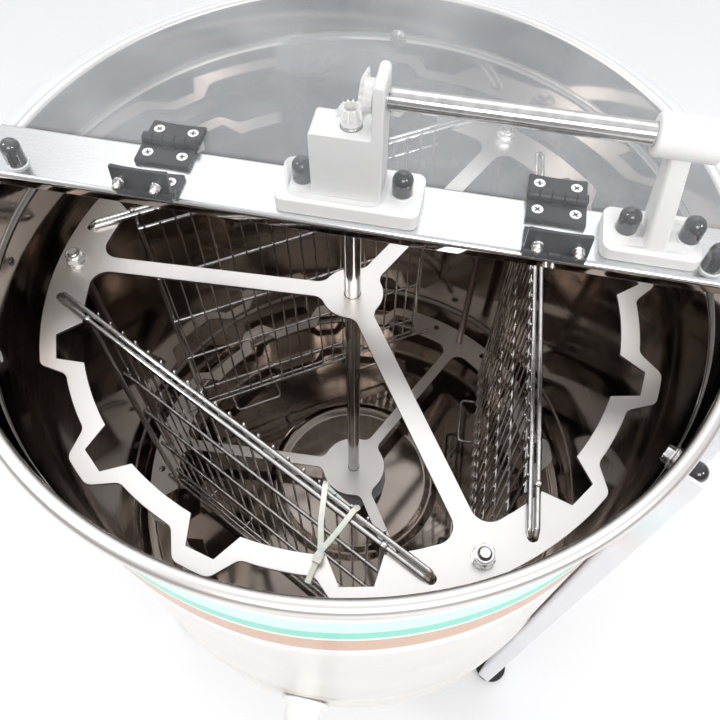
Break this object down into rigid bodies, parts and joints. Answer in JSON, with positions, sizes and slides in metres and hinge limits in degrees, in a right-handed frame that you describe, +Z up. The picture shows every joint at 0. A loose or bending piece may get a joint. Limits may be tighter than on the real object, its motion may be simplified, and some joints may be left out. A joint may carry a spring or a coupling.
{
  "type": "honey extractor",
  "caption": "Hand-cranked tangential honey extractor: steel drum on legs, wire baskets in a notched cage, bevel drive on a bridge, clear lids, honey gate.",
  "frame": {"origin": "middle of the bounding box's footprint, on the ground under the feet", "axes": "+Z up along the cage's shaft, +X along the bridge towards the crank, -Y towards the honey gate and the front lid"},
  "size_m": [0.7868, 0.7528, 1.3179],
  "materials": {
    "drum_steel": "bright rolled stainless sheet, near mirror inside",
    "satin_steel": "satin laser-cut stainless plate",
    "chrome": "electropolished stainless wire and ground shaft",
    "white_paint": "semi-gloss white powder coat",
    "nylon": "machined white nylon, satin",
    "black_plastic": "glossy moulded black",
    "hinge_plastic": "satin glass-filled black nylon with screws",
    "rubber": "matt black rubber",
    "clear_plastic": "clear polycarbonate sheet, polished",
    "grey_bush": "translucent grey acetal",
    "tie_plastic": "natural translucent nylon"
  },
  "bodies": {
    "drum": {"drum_wall": "drum_steel", "drum_floor": "drum_steel", "leg_1": "white_paint", "leg_2": "white_paint", "leg_3": "white_paint", "foot_1": "rubber", "foot_2": "rubber", "foot_3": "rubber", "leg_bolt_1": "black_plastic", "leg_bolt_2": "black_plastic", "leg_bolt_3": "black_plastic", "bottom_bearing": "nylon", "gate_body": "nylon", "bridge": "satin_steel", "bridge_bracket_left": "satin_steel", "bridge_bracket_right": "satin_steel", "bridge_bolt_left": "black_plastic", "bridge_bolt_right": "black_plastic", "gear_base": "nylon", "gear_bolt_left": "black_plastic", "gear_bolt_right": "black_plastic", "gear_bracket": "nylon", "gear_guard": "clear_plastic", "top_bush": "grey_bush", "bearing_block": "nylon", "bearing_bolt_left": "black_plastic", "bearing_bolt_right": "black_plastic", "hinge_front_left_base": "hinge_plastic", "hinge_front_right_base": "hinge_plastic", "hinge_rear_left_base": "hinge_plastic", "hinge_rear_right_base": "hinge_plastic"},
    "cage": {"central_shaft": "chrome", "shaft_bevel": "nylon", "top_plate": "satin_steel", "bottom_plate": "satin_steel", "hub_collar_top": "satin_steel", "hub_collar_bottom": "satin_steel", "tie_rod_1": "satin_steel", "tie_rod_2": "satin_steel", "tie_rod_3": "satin_steel", "tie_nut_1": "satin_steel", "tie_nut_2": "satin_steel", "tie_nut_3": "satin_steel", "basket_1": "chrome", "basket_2": "chrome", "basket_3": "chrome", "cable_tie": "tie_plastic"},
    "crank": {"crank_shaft": "chrome", "crank_bevel": "nylon", "crank_arm": "satin_steel", "handle_bolt": "chrome"},
    "handle": {"handle_grip": "black_plastic"},
    "front_lid": {"lid_front": "clear_plastic", "hinge_front_left_leaf": "hinge_plastic", "hinge_front_right_leaf": "hinge_plastic"},
    "rear_lid": {"lid_rear": "clear_plastic", "hinge_rear_left_leaf": "hinge_plastic", "hinge_rear_right_leaf": "hinge_plastic"},
    "gate": {"gate_flap": "nylon"},
    "gate_clamp": {"gate_knob": "black_plastic"}
  },
  "joints": [
    {"name": "cage_spin", "type": "hinge", "parent": "drum", "child": "cage", "pos_m": [-0.06645, 0.01914, 0.7], "axis": [0, 0, 1], "continuous": true},
    {"name": "crank_turn", "type": "hinge", "parent": "drum", "child": "crank", "pos_m": [0.23355, 0.01914, 1.123], "axis": [1, 0, 0], "continuous": true},
    {"name": "grip_spin", "type": "hinge", "parent": "crank", "child": "handle", "pos_m": [0.33355, 0.01914, 0.963], "axis": [1, 0, 0], "continuous": true},
    {"name": "front_lid_hinge", "type": "hinge", "parent": "drum", "child": "front_lid", "pos_m": [-0.06645, -0.01086, 1.0242], "axis": [1, 0, 0], "range_deg": [0, 96.6]},
    {"name": "rear_lid_hinge", "type": "hinge", "parent": "drum", "child": "rear_lid", "pos_m": [-0.06645, 0.04914, 1.0242], "axis": [1, 0, 0], "range_deg": [0, 96.6]},
    {"name": "gate_flap_swing", "type": "hinge", "parent": "drum", "child": "gate", "pos_m": [-0.10445, -0.36216, 0.424], "axis": [0, -1, 0], "range_deg": [0, 100]},
    {"name": "gate_knob_turn", "type": "hinge", "parent": "drum", "child": "gate_clamp", "pos_m": [-0.02845, -0.37086, 0.424], "axis": [0, -1, 0], "range_deg": [0, 360]}
  ],
  "couplings": [
    {"joint": "crank_turn", "follows": "cage_spin", "ratio": 0.6}
  ]
}
